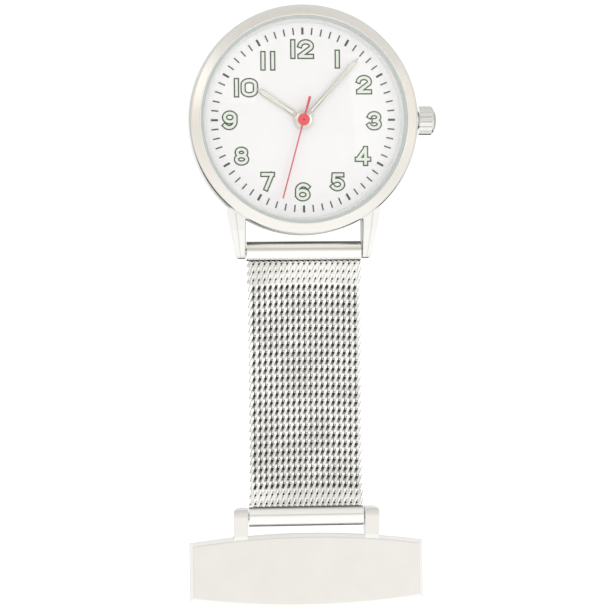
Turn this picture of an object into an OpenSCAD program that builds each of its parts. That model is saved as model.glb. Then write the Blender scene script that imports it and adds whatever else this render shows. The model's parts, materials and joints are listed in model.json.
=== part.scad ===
// Fob watch: a quartz watch head hanging from a brooch bar on a steel mesh band.
// Millimetres. The pieces are drawn on the bench: dial centre at x = y = 0, 12 o'clock
// along +y, the case back's outer face at z = 0 and the crystal towards +z. worn() then
// hangs the whole watch as it is worn: brooch on top (+Z), dial facing -Y, and the
// origin at the middle of the brooch pin.

/* [Case] */
// Diameter of the round case
case_d = 33; // [30:0.5:40]
// Height of the case body's back rim above the case back's face
case_z0 = 0.35; // [0.3:0.05:0.6]
// Height of the bezel's inner bead
case_z1 = 6.9; // [6.8:0.1:9]
// Width of the brushed bezel ring
bezel_w = 1.45; // [1:0.05:2]
// Width of the polished bead inside the bezel ring
bead_w = 0.25; // [0.15:0.05:0.5]
// Wall from the case's side to its bore
bore_wall = 2.35; // [2:0.05:3.2]
// Thickness of the case back
back_t = 0.8; // [0.6:0.05:1.2]
// Radial width of the crystal's gasket
gasket_w = 0.36; // [0.25:0.01:0.5]
// Thickness of the crystal
crystal_t = 1.2; // [1:0.1:1.8]

/* [Lugs and band] */
// Clear width between the case lugs
lug_gap = 16.9; // [15:0.1:18]
// Width of a case lug at its tip
lug_tip_w = 1.3; // [1.2:0.05:2]
// Width of a case lug at its root
lug_root_w = 2.6; // [2.4:0.1:3.6]
// Clear gap between the case and the band's end tube
case_tube_gap = 0.85; // [0.5:0.05:2]
// Height of the spring bars above the case back's face
bar_z = 2.8; // [2.6:0.1:3.4]
// Outer diameter of the band's end tubes
end_tube_d = 2.8; // [2.6:0.1:3.4]
// Width of the mesh band
band_w = 16; // [14:0.1:16.4]
// Thickness of the mesh band
band_t = 1.2; // [1:0.05:1.6]
// Length of the mesh between its two end tubes
mesh_l = 35.4; // [28:0.2:48]
// Outer diameter of the spring bars
bar_d = 1.5; // [1.3:0.05:1.8]
// Diameter of a spring bar's tip
tip_d = 0.8; // [0.7:0.05:1]

/* [Brooch] */
// Width of the brooch plate
brooch_w = 33.6; // [30:0.2:42]
// Height of the brooch plate at its middle
brooch_h = 10.6; // [9:0.1:13]
// Height of the brooch plate at its ends
brooch_end_h = 8.2; // [6.5:0.1:8.4]
// Thickness of the brooch plate
brooch_t = 1.8; // [1.4:0.1:2.6]
// Width of the bevel round the brooch plate's front
brooch_bevel = 0.55; // [0.3:0.05:0.8]
// Width of a brooch lug
brooch_lug_w = 2.05; // [1.6:0.05:2.6]
// Clear gap between the end tube and the brooch plate's edge
brooch_tube_gap = 1.1; // [0.8:0.05:2]
// Diameter of the brooch pin
pin_d = 0.8; // [0.7:0.05:1]
// Distance of the pin's axis behind the brooch plate
pin_drop = 2.1; // [1.9:0.1:3]
// Length of the pin from its rivet to its point
pin_l = 27; // [25:0.5:29]

/* [Crown] */
// Diameter of the crown
crown_d = 4.2; // [3.6:0.1:4.6]
// Length of the crown
crown_l = 2.6; // [2.2:0.1:3.4]
// Number of flutes round the crown
flutes = 18; // [12:1:36]

/* [Dial and hands] */
// Thickness of the dial
dial_t = 0.4; // [0.3:0.05:0.6]
// Reach of the hour hand
hour_reach = 8.15; // [7:0.05:9]
// Width of the hour hand
hour_hand_w = 0.7; // [0.5:0.05:1]
// Reach of the minute hand
minute_reach = 11.9; // [10:0.1:12.6]
// Width of the minute hand
minute_hand_w = 0.57; // [0.4:0.01:0.8]
// Reach of the second hand
second_reach = 11.7; // [10:0.1:12.6]
// Reach of the second hand's tail
second_tail = 3.45; // [2.5:0.05:4]
// Clockwise angle of the hour hand at rest
hour_angle = 304; // [0:1:359]
// Clockwise angle of the minute hand at rest
minute_angle = 42; // [0:1:359]
// Clockwise angle of the second hand at rest
second_angle = 195.4; // [0:0.2:359]

/* [Movement] */
// Tooth module of the going train
train_m = 0.065; // [0.06:0.001:0.068]
// Tooth module of the motion work
motion_m = 0.09; // [0.08:0.002:0.094]
// Radius of the main plate
plate_r = 9.3; // [9.2:0.1:10]
// Diameter of the battery
battery_d = 6.8; // [6.2:0.1:6.8]
// Height of the battery
battery_t = 2.15; // [1.6:0.05:2.15]
// Diameter of the winding stem
stem_d = 0.9; // [0.8:0.05:1]
// Height of the stem above the case back's face
stem_z = 2.9; // [2.8:0.05:3.1]

/* [Hidden] */
$fn = 64;
eps = 0.01;
slip = 0.05;       // radial play of one part turning in another
case_r = case_d / 2;
bezel_in = case_r - bezel_w;
crystal_seat_r = bezel_in - bead_w;
bore_r = case_r - bore_wall;
dial_r = bore_r - 0.05;
flange_in = dial_r - 0.1;
crystal_r = crystal_seat_r - gasket_w;
crystal_z = case_z1 + 0.2 - crystal_t;
lip_t = 0.35;      // the case's inner lip, under the crystal
lip_z = crystal_z - lip_t;
back_r = case_r - 1.25;
back_gasket_t = 0.35;
lug_root_share = 0.764;  // where a lug meets the case, as a share of the case's radius
deep = 10;         // longer than any cut goes

tube_r = end_tube_d / 2;
tube_l = lug_gap - 0.4;
case_bar_y = -(case_r + case_tube_gap + tube_r);
mesh_y1 = case_bar_y - tube_r;         // the mesh starts against the case-end tube
mesh_y0 = mesh_y1 - mesh_l;
brooch_bar_y = mesh_y0 - tube_r;
sections = 6;
section_l = mesh_l / sections;
hinge_gap = 0.1;

bar_r = bar_d / 2;
bar_l = lug_gap - 0.5;
bar_bore_r = bar_r - 0.2;
tip_r = tip_d / 2;
tip_out = 0.8;     // how far a tip stands in its lug
tip_in = 3;        // length of a tip's shoulder inside the bar
lug_hole_r = tip_r + slip;
lug_tip_r = bar_r + 0.35;

plate_top_y = brooch_bar_y - tube_r - brooch_tube_gap;
plate_mid_y = plate_top_y - brooch_h / 2;
plate_z0 = bar_z - 0.9;
plate_z1 = plate_z0 + brooch_t;
pin_r = pin_d / 2;
pin_y = plate_mid_y;
pin_z = plate_z0 - pin_drop;
pin_root_l = 1.8;  // from the rivet to where the pin's round shaft starts
pin_point_l = 3.7; // length of the pin's taper, which the catch holds
rivet_x = pin_l / 2 - 0.1;
catch_x = rivet_x - pin_l + 1.9;       // middle of the catch
catch_w = 2.4;
collar_r0 = pin_r + 0.16;
collar_r1 = collar_r0 + 0.45;
shell_r0 = collar_r1 + slip;
shell_r1 = shell_r0 + 0.4;

// heights of the movement's layers above the case back's face
bridge_z = 1.2;
bridge_t = 0.35;
train_z = [1.7, 1.95, 2.2, 2.42];      // fifth, seconds, third and centre wheels
wheel_t = 0.13;
plate_lo = 2.65;
plate_hi = 3.4;
motion_z = 3.5;
dial_z = 4.1;
dial_top = dial_z + dial_t;
hour_z = dial_top + 0.35;
minute_z = hour_z + 0.35;
second_z = minute_z + 0.3;
hand_t = 0.12;
hour_hub_r = 1.3;
minute_hub_r = 1.2;
second_hub_r = 0.87;

// tooth counts: rotor to fifth to seconds to third to centre, and the 12 to 1 motion work
rotor_n = 8;
fifth_n = 40;
fifth_pn = 10;
seconds_n = 60;
seconds_pn = 8;
third_n = 60;
third_pn = 8;
centre_n = 64;
cannon_n = 12;
minute_n = 36;
minute_pn = 10;
hour_n = 40;
setting_n = 20;

// the third wheel's two meshes share one centre distance, as do the minute wheel's
third_a = train_m * (seconds_pn + third_n) / 2;
centre_m = 2 * third_a / (third_pn + centre_n);
fifth_a = train_m * (fifth_pn + seconds_n) / 2;
rotor_a = train_m * (rotor_n + fifth_n) / 2;
minute_a = motion_m * (cannon_n + minute_n) / 2;
hour_m = 2 * minute_a / (minute_pn + hour_n);
setting_a = motion_m * (minute_n + setting_n) / 2;

third_dir = 300;
fifth_dir = 60;
rotor_dir = 100;
minute_dir = 330;
setting_dir = 9;
function at(r, a) = [r * cos(a), r * sin(a)];
third_p = at(third_a, third_dir);
fifth_p = at(fifth_a, fifth_dir);
rotor_p = fifth_p + at(rotor_a, rotor_dir);
minute_p = at(minute_a, minute_dir);
setting_p = minute_p + at(setting_a, setting_dir);

// angle of tooth 0 of a gear of nc teeth that meshes, in direction dir, with one of nb teeth at angle b
function meshed(dir, nb, b, nc) = dir + 180 + (180 + (dir - b) * nb) / nc;

battery_p = at(5.8, 200);
battery_z = 1.25;
battery_r = battery_d / 2;
quartz_p = [4.9, -5];
coil_y = rotor_p[1] + 2.45;
coil_r = 0.8;
coil_z = 2.4;
stator_t = 0.15;
stem_r = stem_d / 2;
clutch_r = 0.95;
clutch_x = 5.75;
clutch_l = 1.15;
square_w = 0.54;
groove_x = 7.65;
groove_r = 0.24;
lever_pin_r = 0.1;
pivot_r = 0.07;    // arbors of the train
pivot_hole_r = 0.12;
seconds_arbor_r = 0.09;
centre_bore_r = 0.14;
centre_pipe_r = 0.26;
cannon_pipe_r = 0.42;
hour_bore_r = 0.5;
hour_pipe_r = 0.72;
motion_post_r = 0.15;
setting_post_r = 0.2;
lever_p = [groove_x + 0.5, -3.4];
crown_x = case_r + 0.35;
crown_dome_l = 0.8;
stem_end_l = 2;    // how far the stem's threaded end goes into the crown
lever_t = 0.15;    // thickness of the setting lever and the yoke
lever_hub_r = 0.42;
yoke_post_r = 0.3;
case_tube_r = 1;
crown_bore_r = case_tube_r + 0.3;
screw_r = 0.3;
screw_head_r = 0.55;
screw_pts = [[-3, 2.9], [6.4, 3.2], [2, -6.6]];
holder_r = bore_r - 0.1;
foot_r = 0.35;
foot_pts = [at(11.6, 70), at(11.6, 250)];

// ---- shared shapes ----

module worn() {
    rotate([90, 180, 0]) translate([0, -pin_y, -pin_z]) children();
}

module ring(r1, r0, z0, z1) {
    translate([0, 0, z0]) difference() {
        cylinder(r = r1, h = z1 - z0);
        translate([0, 0, -eps]) cylinder(r = r0, h = z1 - z0 + 2 * eps);
    }
}

module disc(p, r, z0, z1) {
    translate([p[0], p[1], z0]) cylinder(r = r, h = z1 - z0);
}

// a rod along x from x0 to x1
module rod_x(r, x0, x1) {
    translate([x0, 0, 0]) rotate([0, 90, 0]) cylinder(r = r, h = x1 - x0);
}

module box(x0, x1, y0, y1, z0, z1) {
    translate([x0, y0, z0]) cube([x1 - x0, y1 - y0, z1 - z0]);
}

// a clock gear: straight-sided teeth, thinner than their gaps, with tooth 0 at angle first
module gear(n, m, z0, z1, first, bore = 0) {
    r = n * m / 2;
    tip = r + 0.9 * m;
    root = r - 1.15 * m;
    step = 360 / n;
    translate([0, 0, z0]) linear_extrude(z1 - z0) difference() {
        polygon([for (i = [0:n - 1]) for (c = [[-0.27, root], [-0.11, tip], [0.11, tip], [0.27, root]])
            at(c[1], first + (i + c[0]) * step)]);
        if (bore > 0) circle(r = bore);
    }
}

module clockwise(a) {
    rotate([0, 0, -a]) children();
}

// a spring bar's tip pointing along +x: its shoulder in the bar and its end in the lug
module bar_tip(bar_y) {
    translate([0, bar_y, bar_z]) {
        rod_x(bar_bore_r - slip, bar_l / 2 - tip_in, bar_l / 2 - 0.15);
        rod_x(tip_r, bar_l / 2 - 0.15 - eps, lug_gap / 2 + tip_out);
    }
}

module bar_sleeve(bar_y) {
    translate([0, bar_y, bar_z]) difference() {
        rod_x(bar_r, -bar_l / 2, bar_l / 2);
        rod_x(bar_bore_r, -bar_l / 2 + 0.12, bar_l / 2 - 0.12);
        rod_x(tip_r + slip, -bar_l / 2 - 1, bar_l / 2 + 1);
    }
}

// close-wound coil drawn as a row of wire rings between the two tips
module bar_spring(bar_y) {
    wire = 0.22;
    reach = bar_l / 2 - tip_in - wire / 2;
    turns = 24;
    translate([0, bar_y, bar_z]) rotate([0, 90, 0])
        for (i = [0:turns - 1]) translate([0, 0, -reach + 2 * reach * i / (turns - 1)])
            rotate_extrude() translate([bar_bore_r - slip - wire / 2, 0]) circle(d = wire, $fn = 16);
}

module end_tube(y) {
    translate([0, y, bar_z]) difference() {
        rod_x(tube_r, -tube_l / 2, tube_l / 2);
        rod_x(bar_r + slip, -tube_l / 2 - eps, tube_l / 2 + eps);
    }
}

// one rigid stretch of the band, counted from the brooch: a round end at its own pivot
// and a hollow end round the next one's
module mesh_section(i) {
    y_hi = i == 1 ? brooch_bar_y : mesh_y0 + (i - 1) * section_l;
    y_lo = i == sections ? case_bar_y : mesh_y0 + i * section_l;
    r = band_t / 2;
    translate([0, 0, bar_z]) difference() {
        union() {
            box(-band_w / 2, band_w / 2, y_hi, y_lo, -r, r);
            if (i > 1) translate([0, y_hi, 0]) rod_x(r, -band_w / 2, band_w / 2);
        }
        // the end sections are fixed to their tubes
        if (i == 1) translate([0, y_hi, 0]) rod_x(tube_r, -band_w, band_w);
        translate([0, y_lo, 0]) rod_x(i == sections ? tube_r : r + hinge_gap, -band_w, band_w);
    }
}

// ---- case ----

module lug_outline() {
    tip_y = case_bar_y - lug_tip_r;
    x0 = lug_gap / 2;
    round_r = 0.5;
    root_y = -lug_root_share * case_r;
    translate([x0 + lug_tip_w - round_r, tip_y + round_r]) circle(r = round_r);
    polygon([[x0, root_y], [x0, tip_y], [x0 + lug_tip_w - round_r, tip_y],
        [x0 + lug_tip_w, tip_y + round_r], [x0 + lug_tip_w + 0.1, case_bar_y],
        [x0 + lug_root_w, root_y]]);
}

module lug_side() {
    translate([case_bar_y, bar_z]) circle(r = lug_tip_r);
    polygon([[case_bar_y, bar_z - lug_tip_r], [case_bar_y, bar_z + lug_tip_r],
        [case_bar_y + 3, bar_z + lug_tip_r + 1], [-9, case_z1 - 1.6], [-9, 1.4],
        [case_bar_y + 3, bar_z - lug_tip_r - 0.2]]);
}

module case_lug() {
    difference() {
        intersection() {
            translate([0, 0, -1]) linear_extrude(deep) lug_outline();
            rotate([90, 0, 90]) linear_extrude(20) lug_side();
        }
        // bevel along the outer upper edge
        translate([lug_gap / 2 + lug_tip_w + 0.15, case_bar_y, bar_z + lug_tip_r - 0.75])
            rotate([0, 0, -14]) rotate([0, 35, 0]) box(-0.1, 4, -3, 9, 0, 4);
        translate([0, case_bar_y, bar_z]) rod_x(lug_hole_r, 0, lug_gap / 2 + tip_out + 0.15);
    }
}

module case_shell() {
    rotate_extrude($fn = 128) polygon([
        [back_r + 0.05, case_z0], [case_r - 0.8, case_z0], [case_r - 0.35, case_z0 + 0.35],
        [case_r - 0.08, case_z0 + 1], [case_r, case_z0 + 1.8], [case_r, case_z1 - 1.9],
        [case_r - 0.05, case_z1 - 1.2], [case_r - 0.22, case_z1 - 0.75], [case_r - 0.45, case_z1 - 0.55],
        [bezel_in, case_z1 - 0.12], [bezel_in - 0.06, case_z1], [crystal_seat_r + 0.08, case_z1],
        [crystal_seat_r, case_z1 - 0.12], [crystal_seat_r, crystal_z], [flange_in + 0.12, crystal_z],
        [flange_in + 0.12, lip_z], [bore_r, lip_z], [bore_r, back_t + back_gasket_t],
        [back_r + 0.05, back_t + back_gasket_t]]);
}

module case_body() {
    color([0.88, 0.85, 0.80]) worn() difference() {
        union() {
            case_shell();
            difference() {
                union() {
                    case_lug();
                    mirror([1, 0, 0]) case_lug();
                }
                cylinder(r = case_r - 0.6, h = deep);
            }
        }
        translate([0, 0, stem_z]) rod_x(case_tube_r, bore_r - 1, case_r + 2);
    }
}

module crystal() {
    color([0.85, 0.92, 0.92, 0.35]) worn() translate([0, 0, crystal_z]) {
        cylinder(r = crystal_r, h = crystal_t - 0.15, $fn = 128);
        translate([0, 0, crystal_t - 0.15])
            cylinder(r1 = crystal_r, r2 = crystal_r - 0.15, h = 0.15, $fn = 128);
    }
}

module crystal_gasket() {
    color([0.80, 0.84, 0.80]) worn() ring(crystal_seat_r, crystal_r, crystal_z, case_z1 - 0.15);
}

module dial_ring() {
    color([0.75, 0.78, 0.76]) worn() rotate_extrude($fn = 128)
        polygon([[flange_in, dial_top], [bore_r - 0.02, dial_top], [bore_r - 0.02, lip_z],
            [flange_in + 0.1, lip_z]]);
}

module dial() {
    color([0.97, 0.98, 0.99]) worn() {
        ring(dial_r, 0.95, dial_z, dial_top);
        for (p = foot_pts) disc(p, foot_r, dial_z - 1.1, dial_z + eps);
    }
}

module case_back() {
    color([0.86, 0.86, 0.85]) worn() difference() {
        union() {
            cylinder(r1 = back_r - 0.3, r2 = back_r, h = 0.3, $fn = 128);
            disc([0, 0], back_r, 0.3, back_t);
            ring(bore_r - 0.05, bore_r - 0.75, back_t - eps, back_t + 0.7);
        }
        // shallow turned groove, and the notch that a case knife lifts
        ring(back_r - 2.6, back_r - 2.9, -1, 0.1);
        rotate([0, 0, 135]) box(back_r - 0.6, back_r + 1, -1.4, 1.4, 0.3, 0.62);
    }
}

module case_back_gasket() {
    color([0.2, 0.2, 0.2]) worn() ring(back_r - 0.05, bore_r + 0.05, back_t,
        back_t + back_gasket_t);
}

module case_tube() {
    color([0.80, 0.80, 0.80]) worn() translate([0, 0, stem_z]) difference() {
        rod_x(case_tube_r, bore_r + 0.1, crown_x + 1.1);
        rod_x(stem_r + slip, bore_r - 1, crown_x + 2);
    }
}

// ---- crown and setting work ----

module crown() {
    tooth = 360 / flutes;
    groove = 0.2;
    color([0.92, 0.92, 0.90]) worn() translate([crown_x, 0, stem_z]) rotate([0, 90, 0]) difference() {
        union() {
            linear_extrude(crown_l - crown_dome_l + 0.05) polygon([for (i = [0:flutes - 1])
                for (c = [[-0.41, groove], [0.41, groove], [0.5, 0]])
                    at(crown_d / 2 - groove + c[1], (i + c[0]) * tooth)]);
            translate([0, 0, crown_l - crown_dome_l]) rotate_extrude()
                polygon([[0, 0], [crown_d / 2 - 0.12, 0], [crown_d / 2 - 0.3, 0.3],
                    [crown_d / 2 - 0.65, 0.55], [crown_d / 2 - 1.1, 0.72], [0, crown_dome_l]]);
        }
        translate([0, 0, -eps]) cylinder(r = crown_bore_r, h = 1.4);
        translate([0, 0, -eps]) cylinder(r = stem_r - 0.15, h = stem_end_l);
    }
}

module crown_gasket() {
    color([0.15, 0.15, 0.15]) worn() translate([crown_x + 0.5, 0, stem_z]) rotate([0, 90, 0])
        ring(crown_bore_r, case_tube_r + 0.03, 0, 0.4);
}

module winding_stem() {
    color([0.72, 0.73, 0.75]) worn() translate([0, 0, stem_z]) difference() {
        union() {
            rod_x(0.2, clutch_x - 1.9, clutch_x - 0.6);
            box(clutch_x - 0.7, groove_x - 0.4, -square_w / 2, square_w / 2, -square_w / 2, square_w / 2);
            rod_x(stem_r, groove_x - 0.5, crown_x + 1.3);
            rod_x(stem_r - 0.15, crown_x + 1.2, crown_x + stem_end_l);
        }
        rotate([0, 90, 0]) translate([0, 0, groove_x - 0.2]) ring(stem_r + 1, groove_r, 0, 0.4);
    }
}

// sliding pinion: face teeth towards the setting wheel, a fork groove, and ratchet teeth behind
module clutch_wheel() {
    n = 12;
    tooth_h = 0.22;
    color([0.76, 0.64, 0.36]) worn() translate([clutch_x, 0, stem_z]) rotate([0, 90, 0]) difference() {
        union() {
            translate([0, 0, tooth_h]) cylinder(r = clutch_r, h = clutch_l - tooth_h);
            for (i = [0:n - 1]) rotate([0, 0, (i + 0.5) * 360 / n])
                box(0.62, clutch_r - 0.02, -0.1, 0.1, 0, tooth_h + eps);
        }
        ring(clutch_r + 1, 0.58, 0.5, 0.85);
        translate([0, 0, -1]) linear_extrude(4) square(square_w + 0.06, center = true);
    }
}

module yoke() {
    x0 = clutch_x + 0.6;
    color([0.70, 0.71, 0.73]) worn() {
        difference() {
            box(clutch_x - 0.4, clutch_x + 1.9, 1.15, 2.3, motion_z, motion_z + lever_t);
            translate([clutch_x + 1.2, 1.75, 0]) cylinder(r = yoke_post_r, h = deep);
        }
        box(x0, x0 + lever_t, 0.64, 1.3, plate_lo + 0.1, motion_z + lever_t);
    }
}

module setting_lever() {
    z1 = motion_z + lever_t;
    color([0.66, 0.67, 0.69]) worn() {
        difference() {
            union() {
                disc(lever_p, lever_hub_r, motion_z, z1);
                translate([0, 0, motion_z]) linear_extrude(lever_t) polygon([
                    lever_p + [0.4, 0], lever_p + [-0.4, 0], [groove_x - 0.22, -0.55],
                    [groove_x - 0.22, -0.2], [groove_x + 0.2, -0.2], [groove_x + 0.25, -0.55]]);
            }
            translate([lever_p[0], lever_p[1], 0]) cylinder(r = motion_post_r + slip, h = deep);
        }
        disc([groove_x, -0.42], lever_pin_r, stem_z - 0.25, z1);
    }
}

module setting_wheel() {
    first = meshed(setting_dir, minute_n, minute_first, setting_n);
    color([0.78, 0.66, 0.38]) worn() translate(setting_p)
        gear(setting_n, motion_m, motion_z, motion_z + wheel_t, first, setting_post_r + slip);
}

// ---- movement: plates and electrics ----

module plate_outline(r) {
    intersection() {
        circle(r = r);
        square([3 * r, 1.66 * r], center = true);
    }
}

module main_plate() {
    color([0.80, 0.78, 0.72]) worn() {
        difference() {
            translate([0, 0, plate_lo]) linear_extrude(plate_hi - plate_lo) plate_outline(plate_r);
            disc(battery_p, battery_r + 0.1, 0, deep);
            disc([0, 0], centre_pipe_r + 0.04, 0, deep);
            for (p = [third_p, fifth_p, rotor_p]) disc(p, pivot_hole_r, 0, deep);
            // windows for the coil, the quartz can and the clutch wheel, and the stem's channel
            box(-3.6, 4.2, coil_y - coil_r - 0.15, coil_y + coil_r + 0.15, 0, deep);
            translate([quartz_p[0], quartz_p[1], 0]) rotate([0, 0, 35]) box(-2.8, 2.8, -0.9, 0.9, 0, deep);
            box(clutch_x - 0.6, clutch_x + 1.9, -1.15, 1.5, 0, deep);
            box(clutch_x + 1.8, 12, -stem_r - 0.1, stem_r + 0.1, 0, deep);
            box(groove_x - 0.3, groove_x + 1.5, -0.75, 0, 0, deep);
            translate([0, 0, stem_z]) rod_x(0.25, clutch_x - 2.1, clutch_x);
            for (p = screw_pts) disc(p, screw_r - 0.1, 0, deep);
        }
        // posts for the setting wheel, the minute wheel and the setting lever
        disc(minute_p, motion_post_r, plate_hi - eps, dial_z - 0.1);
        disc(setting_p, setting_post_r, plate_hi - eps, motion_z + 0.25);
        disc(lever_p, motion_post_r, plate_hi - eps, motion_z + 0.25);
        // pillars for the train bridge and the circuit board
        for (p = screw_pts) translate([p[0], p[1], 0])
            ring(screw_head_r, screw_r - 0.1, bridge_z + bridge_t, plate_lo + eps);
    }
}

module train_bridge() {
    color([0.82, 0.80, 0.74]) worn() difference() {
        translate([0, 0, bridge_z]) linear_extrude(bridge_t) polygon([
            [-2.2, 0.8], [-3.9, 2.4], [-3.7, 3.6], [-2.4, 3.7], [-0.6, 4.4], [0.8, 4.7], [2.4, 4.4],
            [6.2, 4], [7.2, 3.4], [6.9, 2.4], [3.4, 0.6], [3.3, -3.4], [2.9, -6.2], [2.6, -7.2],
            [1.4, -7.2], [-0.6, -4.2], [-1.8, -2.8]]);
        disc([0, 0], centre_bore_r, 0, deep);
        for (p = [third_p, fifth_p, rotor_p]) disc(p, pivot_hole_r, 0, deep);
        for (p = screw_pts) disc(p, screw_r, 0, deep);
        disc(battery_p, battery_r + 0.15, 0, deep);
    }
}

module bridge_screws() {
    color([0.6, 0.62, 0.66]) worn() for (p = screw_pts) difference() {
        union() {
            disc(p, screw_head_r, bridge_z - 0.25, bridge_z);
            disc(p, screw_r - 0.12, bridge_z - eps, plate_hi - 0.1);
        }
        translate([p[0], p[1], 0]) rotate([0, 0, 30]) box(-1, 1, -0.08, 0.08, 0, bridge_z - 0.12);
    }
}

module battery() {
    z1 = battery_z + battery_t;
    color([0.82, 0.82, 0.80]) worn() {
        disc(battery_p, battery_r, battery_z, z1 - 0.4);
        disc(battery_p, battery_r - 0.5, z1 - 0.4 - eps, z1);
    }
}

module battery_clamp() {
    color([0.75, 0.75, 0.72]) worn() intersection() {
        disc([0, 0], plate_r, 0, deep);
        translate([battery_p[0], battery_p[1], 0]) rotate([0, 0, 20]) difference() {
            union() {
                box(-0.9, 0.9, -battery_r - 0.9, battery_r + 0.9, battery_z - 0.15, battery_z);
                for (s = [-1, 1]) box(-0.9, 0.9, s * (battery_r + 0.55) - 0.15,
                    s * (battery_r + 0.55) + 0.15, battery_z - 0.15, plate_lo);
            }
            cylinder(r = 0.4, h = deep);
        }
    }
}

module battery_contact() {
    z0 = battery_z + battery_t;
    color([0.83, 0.72, 0.42]) worn() translate([battery_p[0], battery_p[1], 0]) rotate([0, 0, 65])
        box(-2, 4.4, -0.4, 0.4, z0, z0 + 0.12);
}

module circuit_board() {
    board_t = 0.25;
    color([0.10, 0.38, 0.24]) worn() {
        translate([0, 0, bridge_z]) linear_extrude(board_t) intersection() {
            circle(r = plate_r - 0.2);
            polygon([[3.75, 0.35], [7.4, 2.2], [9.4, 2.2], [9.4, -3.2], [5.6, -6.8], [3.75, -3]]);
        }
        // the bare chip under its drop of resin
        disc([5.2, -1.2], 0.75, bridge_z + board_t - eps, bridge_z + board_t + 0.35);
    }
}

module quartz_crystal() {
    color([0.85, 0.85, 0.83]) worn() translate([quartz_p[0], quartz_p[1], 2.32]) rotate([0, 0, 35]) {
        rod_x(0.75, -2.5, 2.2);
        for (s = [-1, 1]) translate([0, 0.3 * s, 0]) rod_x(0.1, 2.2 - eps, 2.7);
    }
}

module coil_block() {
    color([0.72, 0.38, 0.20]) worn() {
        box(-4.7, 5.3, coil_y - 0.45, coil_y + 0.45, coil_z - 0.08, coil_z + 0.08);
        translate([0, coil_y, coil_z]) rod_x(coil_r, -3.1, 3.7);
    }
}

// one of the stator's two arms: from the rotor's side to a coil foot whose outer edge is at foot_x
module stator_arm(foot_x) {
    side = sign(foot_x);
    foot_w = 1.3;
    linear_extrude(stator_t) polygon([[rotor_p[0], rotor_p[1] + 0.6], [rotor_p[0], rotor_p[1] - 0.6],
        [foot_x - side * 0.9, rotor_p[1] + 0.5], [foot_x, coil_y - 0.6], [foot_x, coil_y + 0.5],
        [foot_x - side * foot_w, coil_y + 0.5], [foot_x - side * foot_w, coil_y - 0.6],
        [foot_x - side * 1.7, rotor_p[1] + 1.2]]);
}

module stator() {
    stator_z = coil_z - 0.1 - stator_t;
    stator_bore_r = 0.92;
    color([0.70, 0.70, 0.72]) worn() translate([0, 0, stator_z]) difference() {
        union() {
            translate(rotor_p) cylinder(r = 1.35, h = stator_t);
            stator_arm(-4.7);
            stator_arm(5.3);
        }
        translate([rotor_p[0], rotor_p[1], -1]) cylinder(r = stator_bore_r, h = 3);
        for (p = screw_pts) disc(p, screw_head_r + slip, -1, 2);
    }
}

// ---- movement: wheels ----

fifth_first = 0;
rotor_first = meshed(rotor_dir, fifth_n, fifth_first, rotor_n);
seconds_first = meshed(fifth_dir + 180, fifth_pn, fifth_first, seconds_n);
third_first = meshed(third_dir, seconds_pn, 0, third_n);
centre_first = meshed(third_dir + 180, third_pn, 0, centre_n);
minute_first = meshed(minute_dir, cannon_n, 0, minute_n);
hour_first = meshed(minute_dir + 180, minute_pn, 0, hour_n);

// the pivots of a wheel between the bridge and the main plate
module arbor() {
    disc([0, 0], pivot_r, bridge_z + 0.1, plate_lo + 0.3);
}

module rotor() {
    color([0.30, 0.31, 0.34]) worn() translate(rotor_p) {
        gear(rotor_n, train_m, train_z[0], train_z[1], rotor_first);
        disc([0, 0], 0.75, train_z[1] + 0.05, plate_lo - 0.1);
        arbor();
    }
}

module fifth_wheel() {
    color([0.80, 0.68, 0.40]) worn() translate(fifth_p) {
        gear(fifth_n, train_m, train_z[0], train_z[0] + wheel_t, fifth_first);
        gear(fifth_pn, train_m, train_z[0] + wheel_t - eps, train_z[1] + wheel_t + 0.03, fifth_first);
        arbor();
    }
}

module seconds_wheel() {
    color([0.80, 0.68, 0.40]) worn() {
        gear(seconds_n, train_m, train_z[1], train_z[1] + wheel_t, seconds_first);
        gear(seconds_pn, train_m, train_z[1] + wheel_t - eps, train_z[2] + wheel_t + 0.03, 0);
        disc([0, 0], seconds_arbor_r, bridge_z + 0.1, second_z + hand_t / 2);
    }
}

module third_wheel() {
    color([0.80, 0.68, 0.40]) worn() translate(third_p) {
        gear(third_n, train_m, train_z[2], train_z[2] + wheel_t, third_first);
        gear(third_pn, centre_m, train_z[2] + wheel_t - eps, train_z[3] + wheel_t + 0.02, 0);
        arbor();
    }
}

module centre_wheel() {
    color([0.80, 0.68, 0.40]) worn() {
        gear(centre_n, centre_m, train_z[3], train_z[3] + wheel_t, centre_first, centre_bore_r);
        difference() {
            disc([0, 0], centre_pipe_r, train_z[3] + wheel_t - eps, second_z - 0.35);
            disc([0, 0], centre_bore_r, 0, deep);
        }
    }
}

module cannon_pinion() {
    color([0.76, 0.62, 0.34]) worn() {
        gear(cannon_n, motion_m, plate_hi + 0.05, motion_z + wheel_t + 0.03, 0,
            centre_pipe_r);
        ring(cannon_pipe_r, centre_pipe_r, motion_z + wheel_t, minute_z + hand_t + 0.04);
    }
}

module minute_wheel() {
    color([0.80, 0.68, 0.40]) worn() translate(minute_p) {
        gear(minute_n, motion_m, motion_z, motion_z + wheel_t, minute_first, motion_post_r + slip);
        gear(minute_pn, hour_m, motion_z + wheel_t - eps, motion_z + 0.45, 0,
            motion_post_r + slip);
    }
}

module hour_wheel() {
    color([0.80, 0.68, 0.40]) worn() {
        gear(hour_n, hour_m, motion_z + 0.28, motion_z + 0.42, hour_first, hour_bore_r);
        ring(hour_pipe_r, hour_bore_r, motion_z + 0.42 - eps, hour_z + hand_t);
    }
}

module dial_washer() {
    color([0.85, 0.75, 0.45]) worn() ring(1.5, 0.8, motion_z + 0.47, dial_z - 0.02);
}

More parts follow.
